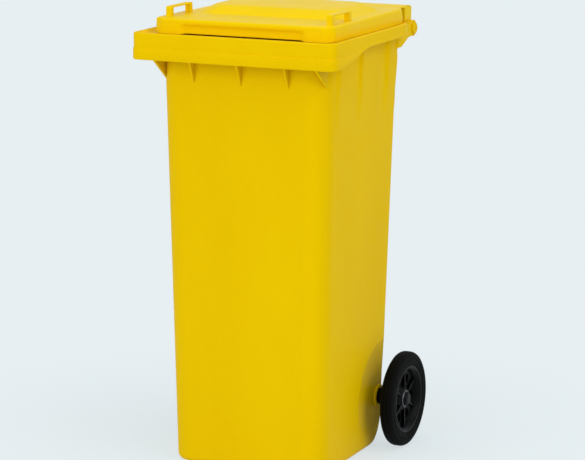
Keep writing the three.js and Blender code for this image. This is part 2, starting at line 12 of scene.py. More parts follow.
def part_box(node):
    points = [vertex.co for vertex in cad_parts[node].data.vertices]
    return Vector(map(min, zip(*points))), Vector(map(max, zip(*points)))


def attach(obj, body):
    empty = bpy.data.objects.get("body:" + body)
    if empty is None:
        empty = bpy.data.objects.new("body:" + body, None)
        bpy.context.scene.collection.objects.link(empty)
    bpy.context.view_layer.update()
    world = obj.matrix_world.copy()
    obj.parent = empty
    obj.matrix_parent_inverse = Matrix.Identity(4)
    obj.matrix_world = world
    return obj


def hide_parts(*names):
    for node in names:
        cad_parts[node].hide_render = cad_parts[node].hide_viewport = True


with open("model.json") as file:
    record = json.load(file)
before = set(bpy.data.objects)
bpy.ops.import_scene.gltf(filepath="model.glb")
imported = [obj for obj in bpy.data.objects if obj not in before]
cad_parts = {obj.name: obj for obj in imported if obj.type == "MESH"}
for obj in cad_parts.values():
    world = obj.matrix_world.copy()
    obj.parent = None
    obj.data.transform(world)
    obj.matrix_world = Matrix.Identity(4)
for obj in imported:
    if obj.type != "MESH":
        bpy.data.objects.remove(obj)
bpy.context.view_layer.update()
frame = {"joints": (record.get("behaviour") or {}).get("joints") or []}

# ------------------------------------------------------------------ sizes

MM = 0.001
body_low, body_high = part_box("body")
lid_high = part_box("lid")[1]
tyre_low, tyre_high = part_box("right_tyre")
disc_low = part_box("right_wheel_disc")[0]
joints = {j["name"]: j for j in frame["joints"]}
HINGE = Vector(joints["lid_hinge"]["pos_m"])
AXLE = Vector(joints["right_wheel_spin"]["pos_m"])
HINGE_LINE = (0, HINGE.y, HINGE.z)
AXLE_LINE = (0, AXLE.y, AXLE.z)

# the rim: a sunk deck inside a border, and a lip that hangs lower at the front
RIM_HALF = body_high.x
RIM_FRONT = body_low.y
RIM_REAR = RIM_FRONT + 423 * MM
RIM_TOP = body_high.z
RIM_WALL = 4 * MM
DECK = 5 * MM
DECK_TOP = RIM_TOP - 6 * MM
DECK_LOW = DECK_TOP - DECK
SKIRT = 54 * MM
SKIRT_REAR = 25 * MM
BAND = 24 * MM
PROUD = 1.5 * MM
SWEEP = (RIM_FRONT + 31 * MM, RIM_FRONT + 188 * MM)

# the container: its base, and how far each wall leans out between the base and the rim
WALL = 4 * MM
TOE = 12 * MM
HEEL = 68 * MM
BASE_HALF = 169 * MM
BASE_FRONT = RIM_FRONT + 55 * MM
BASE_REAR = RIM_FRONT + 382 * MM
LEAN_SIDE, LEAN_FRONT, LEAN_REAR = 17.2 * MM, 10.4 * MM, 39.8 * MM
FRONT_CORNER = 45 * MM
REAR_CORNER = 25 * MM
PAD_DROP = 190 * MM
PAD_LOW = DECK_LOW - PAD_DROP
PAD_PROUD = 8 * MM
PADS = [(RIM_FRONT + a * MM, RIM_FRONT + b * MM) for a, b in ((103, 177), (213, 305), (347, 393))]
GUSSET_DROP = 46 * MM
GUSSET_PITCH = 104 * MM

# the axle well across the rear, and the dish that each wheel stands in
WELL_FRONT = RIM_FRONT + 329 * MM
WELL_TOP = 127 * MM
CHEEK = 165 * MM
CHEEK_INNER = 158 * MM
ARCH = 118 * MM
RIB_X = 48 * MM
RIB_HALF = 3 * MM
AXLE_RADIUS = 10 * MM
AXLE_BORE = 10.4 * MM

# the hinge: lugs and grips on the body, arms and a hood on the lid
PIN_RADIUS = 6 * MM
PIN_BORE = 6.4 * MM
LUG_RADIUS = 17 * MM
LUG_SPAN = (182 * MM, 194 * MM)
OUTER_BRACKET = (150.6 * MM, 163.6 * MM)
INNER_BRACKET = (62 * MM, 75 * MM)
GRIP_SPAN = (73 * MM, 152 * MM)
GRIP_RADIUS = 14.4 * MM
ARM_SPAN = (164.6 * MM, 181 * MM)
ARM_RADIUS = 17.5 * MM
HOOD_RADIUS = 47 * MM
HOOD_WALL = 3.5 * MM
HOOD_START = 62 * MM

# the lid
LEDGE = HINGE.z + HOOD_RADIUS
LID_HALF = 197 * MM
LID_FRONT = RIM_FRONT + 49 * MM
LID_REAR = RIM_FRONT + 423 * MM
LID_WALL = 3.5 * MM
LID_LOW = DECK_TOP + 0.3 * MM
NOTCH_HALF = 135 * MM
NOTCH_DEPTH = 5 * MM
NOTCH_LIFT = 2 * MM
NOTCH_END = 6 * MM
DOME_HALF = 165 * MM
DOME_FRONT = RIM_FRONT + 159 * MM
DOME_REAR = RIM_FRONT + 383 * MM
DOME_CORNER = 45 * MM
DOME_SLOPE = 26 * MM
DOME_RISE = 18 * MM
LOOP_X = LID_HALF - 20 * MM
LOOP_HALF = 6 * MM

# the wheels
TYRE_RADIUS = AXLE.z
BEAD_RADIUS = 72 * MM
DISC_RADIUS = 71.7 * MM
HUB_RADIUS = 24 * MM
HUB_FACE = 226 * MM
HOLES = 6
HOLE_RADIUS = 11 * MM
HOLE_RING = 43 * MM


def mix(a, b, t):
    return a + (b - a) * t


def smooth(t):
    t = min(1.0, max(0.0, t))
    return t * t * (3 - 2 * t)


# ------------------------------------------------------------------ mesh helpers

CORNER_STEPS, SIDE_STEPS, END_STEPS = 10, 56, 60
PAD_RINGS = 20
SHARP_FROM = 32


def plan(half, front, rear, front_radius, rear_radius):
    """Points round a rectangle with rounded corners, the same count whatever its size."""
    points = []

    def line(a, b, n):
        points.extend(Vector((mix(a[0], b[0], i / n), mix(a[1], b[1], i / n))) for i in range(n))

    def turn(cx, cy, radius, start):
        for i in range(CORNER_STEPS):
            a = math.radians(start + 90 * i / CORNER_STEPS)
            points.append(Vector((cx + radius * math.cos(a), cy + radius * math.sin(a))))

    f, r = front_radius, rear_radius
    line((half, front + f), (half, rear - r), SIDE_STEPS)
    turn(half - r, rear - r, r, 0)
    line((half - r, rear), (r - half, rear), END_STEPS)
    turn(r - half, rear - r, r, 90)
    line((-half, rear - r), (-half, front + f), SIDE_STEPS)
    turn(f - half, front + f, f, 180)
    line((f - half, front), (half - f, front), END_STEPS)
    turn(half - f, front + f, f, 270)
    return points


def raised(points, z):
    """A ring at height z, which may be a function of the point."""
    return [Vector((p.x, p.y, z(p) if callable(z) else z)) for p in points]


def skin(rings):
    """A mesh through rings of equal length, with a flat face over each end."""
    bm = bmesh.new()
    rows = [[bm.verts.new(p) for p in ring] for ring in rings]
    n = len(rows[0])
    for low, high in zip(rows, rows[1:]):
        for i in range(n):
            j = (i + 1) % n
            bm.faces.new((low[i], low[j], high[j], high[i]))
    bm.faces.new(rows[0][::-1])
    bm.faces.new(rows[-1])
    bmesh.ops.remove_doubles(bm, verts=bm.verts, dist=1e-6)
    bmesh.ops.recalc_face_normals(bm, faces=bm.faces)
    return bm


def turned(profile, centre, steps=96, direction=1):
    """A profile of (x, radius) pairs turned about a line along X through centre."""
    bm = bmesh.new()
    rows = []
    for x, radius in profile:
        p = Vector((centre[0] + direction * x, centre[1], centre[2]))
        if radius < 1e-6:
            rows.append([bm.verts.new(p)])
            continue
        rows.append([bm.verts.new(p + Vector((0, radius * math.cos(a), radius * math.sin(a))))
                     for a in (2 * math.pi * i / steps for i in range(steps))])
    for a, b in zip(rows, rows[1:]):
        for i in range(steps):
            j = (i + 1) % steps
            corners = [a[i % len(a)], a[j % len(a)], b[j % len(b)], b[i % len(b)]]
            unique = list(dict.fromkeys(corners))
            if len(unique) > 2:
                bm.faces.new(unique)
    bmesh.ops.remove_doubles(bm, verts=bm.verts, dist=1e-7)
    bmesh.ops.recalc_face_normals(bm, faces=bm.faces)
    return bm


def rod(x0, x1, radius, centre, steps, direction=1):
    """A plain rod along X."""
    return turned([(x0, 0), (x0, radius), (x1, radius), (x1, 0)], centre, steps, direction)


def slab(outline, x0, x1):
    """An outline of (y, z) pairs pushed along X."""
    bm = bmesh.new()
    face = bm.faces.new([bm.verts.new((x0, y, z)) for y, z in outline])
    pushed = bmesh.ops.extrude_face_region(bm, geom=[face])["geom"]
    corners = [v for v in pushed if isinstance(v, bmesh.types.BMVert)]
    bmesh.ops.translate(bm, vec=(x1 - x0, 0, 0), verts=corners)
    bmesh.ops.recalc_face_normals(bm, faces=bm.faces)
    return bm


def arc(y, z, radius, start, end, steps):
    """Points (y, z) round a centre, from one angle in degrees to another."""
    angles = [math.radians(mix(start, end, i / steps)) for i in range(steps + 1)]
    return [(y + radius * math.cos(a), z + radius * math.sin(a)) for a in angles]


def rounded(points, radius, steps=4):
    """The outline with each corner replaced by an arc-like curve of that radius."""
    out = []
    n = len(points)
    for i, p in enumerate(points):
        a, b, c = Vector(points[i - 1]), Vector(p), Vector(points[(i + 1) % n])
        ra = min(radius, (a - b).length * 0.49)
        rc = min(radius, (c - b).length * 0.49)
        start, end = b + (a - b).normalized() * ra, b + (c - b).normalized() * rc
        for k in range(steps + 1):
            t = k / steps
            q = start * (1 - t) ** 2 + b * 2 * t * (1 - t) + end * t ** 2
            out.append((q.x, q.y))
    return out


def soften(bm, width, steps=2, angle=35):
    """Rounds the edges that are sharper than angle."""
    edges = [e for e in bm.edges if e.is_manifold and e.calc_face_angle(0) > math.radians(angle)]
    if edges:
        bmesh.ops.bevel(bm, geom=edges, offset=width, offset_type="OFFSET", segments=steps,
                        profile=0.6, affect="EDGES", clamp_overlap=True)
    return bm


def merge(*parts):
    """One bmesh holding all the parts."""
    out = bmesh.new()
    for part in parts:
        shape = bpy.data.meshes.new("part")
        part.to_mesh(shape)
        part.free()
        out.from_mesh(shape)
        bpy.data.meshes.remove(shape)
    return out


def as_object(name, bm, material=None):
    shape = bpy.data.meshes.new(name)
    bm.to_mesh(shape)
    bm.free()
    shape.shade_smooth()
    shape.set_sharp_from_angle(angle=math.radians(SHARP_FROM))
    obj = bpy.data.objects.new(name, shape)
    bpy.context.scene.collection.objects.link(obj)
    if material:
        shape.materials.append(material)
    return obj


def carve(bm, tools):
    """The shape with each tool cut from it by an exact boolean."""
    base = as_object("carved", bm)
    helpers = [as_object("tool", tool) for tool in tools]
    for helper in helpers:
        step = base.modifiers.new("cut", "BOOLEAN")
        step.operation, step.solver, step.object = "DIFFERENCE", "EXACT", helper
    graph = bpy.context.evaluated_depsgraph_get()
    out = bmesh.new()
    out.from_mesh(base.evaluated_get(graph).to_mesh())
    for obj in [base, *helpers]:
        bpy.data.objects.remove(obj)
    return out


def mirrored(bm):
    """The mirror image across the middle of the bin."""
    copy = bm.copy()
    bmesh.ops.scale(copy, vec=(-1, 1, 1), verts=copy.verts)
    bmesh.ops.reverse_faces(copy, faces=copy.faces)
    return copy


# ------------------------------------------------------------------ body

def wall_plan(z, inset=0.0, rear=None):
    """The container's outline at height z, inset from its outer face."""
    t = z / RIM_TOP
    back = BASE_REAR + LEAN_REAR * t if rear is None else rear
    return plan(BASE_HALF + LEAN_SIDE * t - inset, BASE_FRONT - LEAN_FRONT * t + inset, back - inset,
                FRONT_CORNER - inset, REAR_CORNER - inset)


def rim_plan(inset):
    """The rim's outline, inset from its widest."""
    return plan(RIM_HALF - inset, RIM_FRONT + inset, RIM_REAR - inset,
                20 * MM - inset, 70 * MM - inset)


def lip_edge(p):
    """Height of the lip's lower edge: deep at the front, sweeping up along the sides."""
    t = smooth((p.y - SWEEP[0]) / (SWEEP[1] - SWEEP[0]))
    return RIM_TOP - mix(SKIRT, SKIRT_REAR, t)


def pad_proud(p, z):
    """How far a point on a side wall stands out on the tapered pads under the lip."""
    rise = (z - PAD_LOW) / PAD_DROP
    if rise <= 0 or abs(p.x) < BASE_HALF - 5 * MM:
        return 0.0
    edge = 3 * MM
    cover = max(smooth((p.y - a) / edge + 1) * smooth((b - p.y) / edge + 1) for a, b in PADS)
    return PAD_PROUD * min(1.0, rise) * cover


def heel_rear(z):
    """Where the rear wall stands at height z, round the heel."""
    heel_y = BASE_REAR + LEAN_REAR * HEEL / RIM_TOP - HEEL
    drop = max(0.0, HEEL - z)
    return heel_y + math.sqrt(max(0.0, HEEL ** 2 - drop ** 2))


def container():
    """The tapered box with its rounded toe and heel and the pads on its sides."""
    rings = []
    for deg in (0, 15, 30, 45, 60, 75, 90):
        a = math.radians(deg)
        z = TOE * (1 - math.cos(a))
        rings.append(raised(wall_plan(z, TOE * (1 - math.sin(a)), rear=heel_rear(z)), z))
    for z in (18, 25, 33, 42, 52, 60, 68):
        rings.append(raised(wall_plan(z * MM, rear=heel_rear(z * MM)), z * MM))
    for z in (100, 200, 300, 400, 500, 600, 680):
        rings.append(raised(wall_plan(z * MM), z * MM))
    for k in range(PAD_RINGS):
        z = mix(PAD_LOW, DECK_LOW + 1 * MM, k / (PAD_RINGS - 1))
        ring = wall_plan(z)
        for p in ring:
            p.x += math.copysign(pad_proud(p, z), p.x)
        rings.append(raised(ring, z))
    return skin(rings)


def rim():
    """The sunk deck with its border and its hanging lip, deeper at the front."""
    def crease(p):
        return max(RIM_TOP - SKIRT + BAND, lip_edge(p) + 7 * MM)

    def outside(inset, z):
        return raised(rim_plan(inset), z)

    # inside the border the deck lies lower; at the rear the border fades away
    def inside(inset, down):
        def z(p):
            keep = smooth((RIM_REAR - 14 * MM - p.y) / (26 * MM))
            return RIM_TOP - mix(6, down, keep) * MM
        return raised(rim_plan(inset * MM), z)

    rings = [outside(RIM_WALL + PROUD + 2 * MM, DECK_LOW), outside(RIM_WALL + PROUD, DECK_LOW - 2 * MM)]
    for inset, up in ((4.0, 1.6), (3.4, 0.5), (2.4, 0.0), (1.2, 0.0), (0.4, 0.6), (0.0, 1.8)):
        rings.append(outside(inset * MM, lambda p, up=up: lip_edge(p) + up * MM))
    rings.append(outside(0, lambda p: crease(p) - 2.0 * MM))
    rings.append(outside(PROUD * 0.3, lambda p: crease(p) - 0.9 * MM))
    rings.append(outside(PROUD, crease))
    for inset, down in ((1.5, 3.6), (1.8, 2.2), (2.6, 0.9)):
        rings.append(outside(inset * MM, RIM_TOP - down * MM))
    for inset, down in ((3.8, 0.2), (5.2, 0.0), (7.5, 0.0), (9.0, 0.5), (10.4, 1.6), (13.6, 4.6),
                        (15.2, 5.7), (17.0, 6.0)):
        rings.append(inside(inset, down))
    return skin(rings)


def cavity():
    """The space inside: a step over the axle well, and the mouth through the deck."""
    step_rear = WELL_FRONT - 5 * MM
    shelf = WELL_TOP + 4.2 * MM
    rings = []
    for z, inset in ((5, 16), (6.2, 11), (9, 6.5), (14, 4)):
        rear = step_rear - 25 * MM + inset * MM * 0.4
        rings.append(raised(wall_plan(z * MM, inset * MM, rear=rear), z * MM))
    for z, back in ((20, 14), (29, 0), (60, 0), (100, 0), (WELL_TOP / MM + 4, 0)):
        rings.append(raised(wall_plan(z * MM, WALL, rear=step_rear - back * MM + WALL), z * MM))
    rings.append(raised(wall_plan(shelf, WALL), shelf))
    rings.append(raised(wall_plan(DECK_LOW, WALL), DECK_LOW))
    half = BASE_HALF + LEAN_SIDE - WALL
    front = LID_FRONT + LID_WALL + 4 * MM
    rear = BASE_REAR + LEAN_REAR - WALL
    for grow, z in ((0, DECK_LOW + 0.5 * MM), (0, DECK_TOP - 1.6 * MM), (0.5, DECK_TOP - 0.6 * MM),
                    (1.6, DECK_TOP), (1.8, DECK_TOP + 4 * MM)):
        g = grow * MM
        rings.append(raised(plan(half + g, front - g, rear + g, 37.5 * MM + g, 21 * MM + g), z))
    keep = rod(CHEEK - WALL, RIM_HALF, ARCH + WALL, AXLE_LINE, 96)
    return carve(skin(rings), [mirrored(keep), keep])


def gusset(x, root, edge):
    """A tapered fin at x, from the wall at root out to edge at the foot of the lip."""
    low = RIM_TOP - SKIRT
    lip = RIM_FRONT + RIM_WALL - 1 * MM

    def ring(half, y, z):
        return [Vector((x - half, y, z)), Vector((x + half, y, z)),
                Vector((x + half, root, z)), Vector((x - half, root, z))]
    fin = skin([ring(1.5 * MM, root - 3 * MM, low - GUSSET_DROP), ring(3 * MM, edge, low),
                ring(4 * MM, lip, low + 34 * MM), ring(4 * MM, lip, DECK_TOP - 3 * MM)])
    return soften(fin, 0.9 * MM)


def gussets():
    """Three fins across the front wall, and one on each front corner."""
    low = RIM_TOP - SKIRT
    wall_low, wall_foot = (BASE_FRONT - LEAN_FRONT * z / RIM_TOP for z in (low, low - GUSSET_DROP))
    corner_x = BASE_HALF + LEAN_SIDE * low / RIM_TOP - 8 * MM
    corner = (wall_foot + FRONT_CORNER * 0.6, RIM_FRONT + RIM_WALL + 9 * MM)
    middle = [gusset(i * GUSSET_PITCH, wall_foot + 2 * MM, wall_low - 22 * MM) for i in (-1, 0, 1)]
    return [gusset(-corner_x, *corner), *middle, gusset(corner_x, *corner)]


def handles():
    """Hinge lugs, and the two grips on slim brackets."""
    y, z = HINGE.y, HINGE.z
    wall = BASE_REAR + LEAN_REAR * z / RIM_TOP - WALL / 2
    lug = [(wall - 36 * MM, DECK_TOP - 49 * MM), (wall - 12 * MM, DECK_TOP - 48 * MM),
           (wall, DECK_TOP - 43 * MM), (y - 28 * MM, z - LUG_RADIUS),
           *arc(y, z, LUG_RADIUS, -120, 95, 28), (y - 20 * MM, DECK_TOP - 4 * MM),
           (wall - 36 * MM, DECK_TOP - 1.2 * MM)]
    bracket = [(wall, z - 14 * MM), (y - 26 * MM, z - 11 * MM),
               *arc(y, z, LUG_RADIUS - 1 * MM, -125, 95, 24), (y - 20 * MM, DECK_TOP - 4 * MM),
               (wall, DECK_TOP - 1.2 * MM)]
    parts = [soften(slab(outline, *span), 1.2 * MM, 3, 50)
             for outline, span in ((lug, LUG_SPAN), (bracket, OUTER_BRACKET), (bracket, INNER_BRACKET))]
    x0, x1 = GRIP_SPAN
    end = GRIP_RADIUS + 0.6 * MM
    parts.append(turned([(x0, 0), (x0, end), (x0 + 7 * MM, GRIP_RADIUS), (x1 - 7 * MM, GRIP_RADIUS),
                         (x1, end), (x1, 0)], HINGE_LINE, 48))
    parts = [carve(part, [rod(130 * MM, 200 * MM, PIN_BORE, HINGE_LINE, 40)]) for part in parts]
    return parts + [mirrored(part) for part in parts]


def body():
    """The whole moulding: container, rim, axle bosses, gussets, lugs and grips."""
    flush = BASE_HALF + LEAN_SIDE * AXLE.z / RIM_TOP
    arch = turned([(CHEEK, 0), (CHEEK, ARCH * 0.44), (CHEEK + 0.3 * MM, ARCH * 0.5),
                   (flush - 1.2 * MM, ARCH - 2 * MM), (flush - 0.6 * MM, ARCH),
                   (flush + ARCH, 2 * ARCH), (flush + ARCH, 0)], AXLE_LINE, 120)
    outline = rounded([(WELL_FRONT, -20 * MM), (RIM_REAR + 20 * MM, -20 * MM),
                       (RIM_REAR + 20 * MM, WELL_TOP), (WELL_FRONT, WELL_TOP)], 9 * MM, 5)
    wells = [slab(outline, x0, x1) for x0, x1 in (
        (-CHEEK_INNER, -RIB_X - RIB_HALF), (RIB_HALF - RIB_X, RIB_X - RIB_HALF),
        (RIB_X + RIB_HALF, CHEEK_INNER))]
    boss = turned([(150 * MM, 0), (150 * MM, 26 * MM), (167 * MM, 24 * MM), (168 * MM, 23 * MM),
                   (168 * MM, 0)], AXLE_LINE, 56)
    bore = rod(-RIM_HALF, RIM_HALF, AXLE_BORE, AXLE_LINE, 48)
    shell = carve(container(), [mirrored(arch), arch, *wells, cavity(), bore.copy()])
    deck = carve(rim(), [cavity()])
    bosses = [carve(part, [bore.copy()]) for part in (mirrored(boss), boss)]
    bore.free()
    return merge(shell, deck, *bosses, *gussets(), *handles())


# ------------------------------------------------------------------ lid

def lid_plan(inset, lift=0.0):
    """The lid's outline, set back across the finger recess in its front."""
    bend = min(inset, 10 * MM) * 0.5
    ring = plan(LID_HALF - inset, LID_FRONT + inset, LID_REAR - inset * 0.3, 24 * MM - bend, 25 * MM - bend)
    for p in ring:
        if p.y < LID_FRONT + inset + 1 * MM:
            p.y += NOTCH_DEPTH * lift * smooth((NOTCH_HALF - abs(p.x)) / NOTCH_END)
    return ring


def notch_edge(up):
    """The height of the lid's lower edge, a little higher across the finger recess."""
    def z(p):
        across = smooth((NOTCH_HALF - abs(p.x)) / NOTCH_END) if p.y < LID_FRONT + 12 * MM else 0.0
        return LID_LOW + NOTCH_LIFT * across + up
    return z


def lid_shell():
    """The lid's shell, from inside the crown down to the edge and up again outside."""
    rings = []
    crown = LEDGE + DOME_RISE

    def dome(inset):
        corner = DOME_CORNER - inset * 0.4
        return plan(DOME_HALF - inset, DOME_FRONT + inset, DOME_REAR - inset, corner, corner)
    rise = DOME_RISE / MM
    for inset, z in ((80, rise - 3.2), (44, rise - 3.5), (34, rise - 5), (30, rise - 8),
                     (8, -1.5), (3.5, -3.5)):
        rings.append(raised(dome(inset * MM), LEDGE + z * MM))
    for inset, z in ((16, -3.5), (9, -4.2), (7, -7)):
        rings.append(raised(lid_plan(inset * MM), LEDGE + z * MM))
    for inset, lift, up in ((5.2, 0.2, 23), (4.4, 1, 18)):
        rings.append(raised(lid_plan(inset * MM, lift), LID_LOW + up * MM))
    for inset, up in ((3.5, 1), (2.9, 0.2), (1.9, 0), (0.8, 0.1), (0.2, 0.8)):
        rings.append(raised(lid_plan(inset * MM, 1), notch_edge(up * MM)))
    for inset, lift, up in ((0.5, 1, 9), (0.9, 1, 15), (1.4, 0.75, 17.5), (1.8, 0.15, 20.5), (2.0, 0, 22)):
        rings.append(raised(lid_plan(inset * MM, lift), LID_LOW + up * MM))
    for inset, down in ((2.6, 5), (3.0, 3.2), (3.9, 1.5), (5.4, 0.4), (7.4, 0)):
        rings.append(raised(lid_plan(inset * MM), LEDGE - down * MM))
    for inset, z in ((-5, 0.15), (-1.5, 0.5), (1.2, 1.9), (4, 4.2)):
        rings.append(raised(dome(inset * MM), LEDGE + z * MM))
    rings.append(raised(dome(DOME_SLOPE - 4 * MM), crown - 5 * MM))
    for inset, down in ((26, 3.0), (30, 1.7), (36, 0.9), (50, 0.5), (80, 0.2)):
        rings.append(raised(dome(inset * MM), crown - down * MM))
    return skin(rings)


def plinth():
    """The rounded block that carries a loop, in the lid's front corner."""
    low, high = LID_FRONT + 8 * MM, LID_FRONT + 140 * MM
    x0, x1 = LID_HALF - 50 * MM, LID_HALF + 0.5 * MM

    def block(inset, z):
        i = inset * MM
        corners = [(x0 + i, low + i), (x1 - i, low + i), (x1 - i, high - i), (x0 + i, high - i)]
        return [Vector((x, y, z)) for x, y in rounded(corners, 12 * MM, 6)]
    return skin([block(0.8, LID_LOW + 3 * MM), block(0, LID_LOW + 4 * MM), block(0.6, LEDGE - 3 * MM),
                 block(1.2, LEDGE - 1.2 * MM), block(2.6, LEDGE), block(4.2, LEDGE + 0.6 * MM)])


def loop():
    """A loop handle: two legs with spread feet and a slim bar along the top."""
    front, rear = LID_FRONT + 30 * MM, LID_FRONT + 124 * MM
    base, crest = LEDGE - 2 * MM, lid_high.z
    knee, under = base + 5 * MM, crest - 3.6 * MM
    outer = [(front - 3 * MM, base), (front, base + 6 * MM), (front + 1 * MM, crest - 1 * MM),
             (front + 5 * MM, crest), (rear - 5 * MM, crest), (rear - 1 * MM, crest - 1 * MM),
             (rear, base + 6 * MM), (rear + 3 * MM, base)]
    inner = [(rear - 9 * MM, base), (rear - 11 * MM, knee), (rear - 11.5 * MM, under),
             (front + 11.5 * MM, under), (front + 11 * MM, knee), (front + 9 * MM, base)]
    outline = rounded(outer + inner, 3.2 * MM, 4)
    return soften(slab(outline, LOOP_X - LOOP_HALF, LOOP_X + LOOP_HALF), 1.1 * MM, 3, 50)


def hood():
    """The curved cover over a grip, at the lid's rear."""
    y, z = HINGE.y, HINGE.z

    def side(radius):
        return [(LID_REAR - 6 * MM, z + radius), *arc(y, z, radius, 90, 78, 8)]
    outer = side(HOOD_RADIUS + 0.3 * MM)
    inner = side(HOOD_RADIUS + 0.3 * MM - HOOD_WALL)
    return soften(slab(outer + inner[::-1], HOOD_START, ARM_SPAN[1]), 1.2 * MM, 3, 50)


def arm():
    """The hinge arm under the hood, with the eye for the pin."""
    y, z = HINGE.y, HINGE.z
    outline = [*arc(y, z, ARM_RADIUS, 180, 360, 28), *arc(y, z, HOOD_RADIUS, 65.5, 112, 18)]
    eye = rod(150 * MM, 200 * MM, PIN_BORE, HINGE_LINE, 40)
    return carve(soften(slab(outline, *ARM_SPAN), 1.4 * MM, 3, 50), [eye])


def hood_rib():
    """The small web that closes the hood's inner end."""
    y, z = HINGE.y, HINGE.z
    outline = [(LID_REAR - 4 * MM, z + 45 * MM), (y + 6 * MM, z + 45 * MM), (y - 6 * MM, z + 38 * MM),
               (LID_REAR - 4 * MM, z + 24 * MM)]
    return soften(slab(outline, HOOD_START + 1 * MM, HOOD_START + 4.5 * MM), 0.8 * MM)


def lid_parts():
    """What stands on the lid, each piece on both sides."""
    parts = []
    for make in (plinth, loop, hood, arm, hood_rib):
        part = make()
        parts += [mirrored(part), part]
    return parts


# ------------------------------------------------------------------ wheels and small turned pieces

def wheel_disc(side):
    """The wheel's disc: a rim that the tyre sits on, a holed web with ribs, and the hub."""
    x0, x1 = tyre_low.x + 2 * MM, tyre_high.x - 1 * MM
    web = x0 + 6 * MM
    outer, hub = DISC_RADIUS, HUB_RADIUS
    disc = turned([
        (disc_low.x, AXLE_BORE), (disc_low.x, hub - 4 * MM), (disc_low.x + 1 * MM, hub - 3 * MM),
        (x0, hub), (x0, outer - 8 * MM), (x0 - 0.8 * MM, outer - 7 * MM),
        (x0 - 0.8 * MM, outer - 1 * MM), (x0, outer), (x1 - 1 * MM, outer), (x1, outer - 1 * MM),
        (x1, outer - 4 * MM), (x1 - 1 * MM, outer - 5.5 * MM), (x1 - 6 * MM, outer - 10 * MM),
        (web + 5 * MM, outer - 12.5 * MM), (web + 4 * MM, outer - 14.5 * MM), (web + 4 * MM, hub + 4 * MM),
        (web + 6 * MM, hub + 1.5 * MM), (HUB_FACE - 1.5 * MM, hub - 2 * MM), (HUB_FACE, hub - 3.5 * MM),
        (HUB_FACE, AXLE_BORE), (disc_low.x, AXLE_BORE)], AXLE_LINE, 120, side)
    half, low, high = 2.2 * MM, hub - 3 * MM, outer - 10 * MM
    outline = [(-half, low), (half, low), (half, high), (-half, high)]
    span = sorted((side * (web + 2 * MM), side * (web + 10 * MM)))
    holes, ribs = [], []
    for i in range(HOLES):
        turn = Matrix.Translation(Vector(AXLE_LINE)) @ Matrix.Rotation(2 * math.pi * i / HOLES, 4, "X")
        hole = rod(150 * MM, 260 * MM, HOLE_RADIUS, (0, 0, HOLE_RING), 32, side)
        hole.transform(turn @ Matrix.Rotation(math.pi / HOLES, 4, "X"))
        holes.append(hole)
        rib = soften(slab(outline, *span), 0.7 * MM, 2, 50)
        rib.transform(turn)
        ribs.append(rib)
    return merge(carve(disc, holes), *ribs)


def tyre(side):
    """A solid tyre: a rounded tread with a groove near each shoulder, and a ring on its face."""
    lo, hi = tyre_low.x / MM, tyre_high.x / MM
    tread, bead = TYRE_RADIUS / MM, BEAD_RADIUS / MM
    groove = tread - 1.2
    profile = [(lo + 2, bead), (lo + 0.8, bead + 1), (lo, bead + 3.5), (lo, tread - 10),
               (lo + 0.9, tread - 5.5), (lo + 3, tread - 2.4), (lo + 6, tread - 0.7), (lo + 9.2, tread),
               (lo + 9.8, groove), (lo + 10.6, groove), (lo + 11.2, tread),
               (hi - 11.2, tread), (hi - 10.6, groove), (hi - 9.8, groove), (hi - 9.2, tread),
               (hi - 6, tread - 0.7), (hi - 3, tread - 2.4), (hi - 0.9, tread - 5.5), (hi, tread - 9.5),
               (hi, tread - 14), (hi - 0.9, tread - 15), (hi - 0.9, tread - 16.4), (hi, tread - 17.4),
               (hi, bead + 4.5), (hi - 0.8, bead + 2), (hi - 2.4, bead), (lo + 2, bead)]
    return turned([(x * MM, radius * MM) for x, radius in profile], AXLE_LINE, 144, side)


def ring_piece(node, outer, edge, side):
    """A spacer or washer on the axle, with its outer edges broken."""
    low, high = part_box(node)
    x0, x1 = (low.x, high.x) if side > 0 else (-high.x, -low.x)
    return turned([(x0, AXLE_BORE), (x0, outer - edge), (x0 + edge, outer), (x1 - edge, outer),
                   (x1, outer - edge), (x1, AXLE_BORE), (x0, AXLE_BORE)], AXLE_LINE, 64, side)


def cap(side):
    """The push-on cap at the end of the axle."""
    low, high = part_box("right_axle_cap")
    x0, x1 = low.x, high.x
    return turned([(x0, AXLE_RADIUS + 0.05 * MM), (x0, 15.6 * MM), (x0 + 0.4 * MM, 16 * MM),
                   (x0 + 1.2 * MM, 16 * MM), (x0 + 1.7 * MM, 15.4 * MM), (x0 + 2.2 * MM, 14 * MM),
                   (x1 - 1.8 * MM, 12.8 * MM), (x1 - 0.9 * MM, 11.6 * MM), (x1 - 0.3 * MM, 9 * MM),
                   (x1, 5 * MM), (x1, 0)], AXLE_LINE, 64, side)


def axle():
    """The axle bar with its chamfered ends."""
    low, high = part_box("axle")
    bevel = 1.5 * MM
    end = AXLE_RADIUS - bevel
    return turned([(low.x, 0), (low.x, end), (low.x + bevel, AXLE_RADIUS), (high.x - bevel, AXLE_RADIUS),
                   (high.x, end), (high.x, 0)], AXLE_LINE, 64)


def hinge_pin(side):
    """A hinge pin with a dished round head."""
    low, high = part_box("right_hinge_pin")
    head = high.x - 4 * MM
    return turned([(low.x, 0), (low.x, 4.6 * MM), (low.x + 2 * MM, PIN_RADIUS), (head, PIN_RADIUS),
                   (head, 11.2 * MM), (head + 0.6 * MM, 12 * MM), (head + 2.4 * MM, 12 * MM),
                   (high.x - 0.6 * MM, 11.4 * MM), (high.x, 10 * MM), (high.x, 8.2 * MM),
                   (high.x - 1.2 * MM, 7.6 * MM), (high.x - 1.2 * MM, 0)], HINGE_LINE, 64, side)


# ------------------------------------------------------------------ materials

def tree(name):
    """A new material, with its nodes, its links and its surface shader."""
    material = bpy.data.materials.new(name)
    material.use_nodes = True
    nodes, links = material.node_tree.nodes, material.node_tree.links
    return material, nodes, links, nodes["Principled BSDF"]


